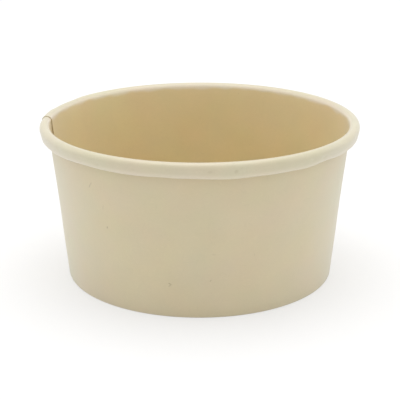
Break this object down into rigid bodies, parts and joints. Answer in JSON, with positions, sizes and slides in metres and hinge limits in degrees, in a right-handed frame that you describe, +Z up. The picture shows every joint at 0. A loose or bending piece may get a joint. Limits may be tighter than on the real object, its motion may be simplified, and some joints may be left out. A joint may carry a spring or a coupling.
{
  "type": "paper ice cream tub",
  "caption": "Round open paperboard tub with a tapered wall, a rolled rim, a lapped side seam and a recessed base.",
  "frame": {"origin": "centre of the ring that the tub stands on, at the level of the table", "axes": "+Z up along the tub's axis; +Y to the back and +X to the right as the picture shows it, with the side seam at the left, 3.5 degrees behind -X"},
  "size_m": [0.0959, 0.096, 0.0476],
  "materials": {
    "wall_board": "matte unbleached paperboard",
    "base_board": "matte unbleached paperboard"
  },
  "bodies": {
    "root": {"side_wall": "wall_board", "base_disc": "base_board"}
  },
  "joints": []
}
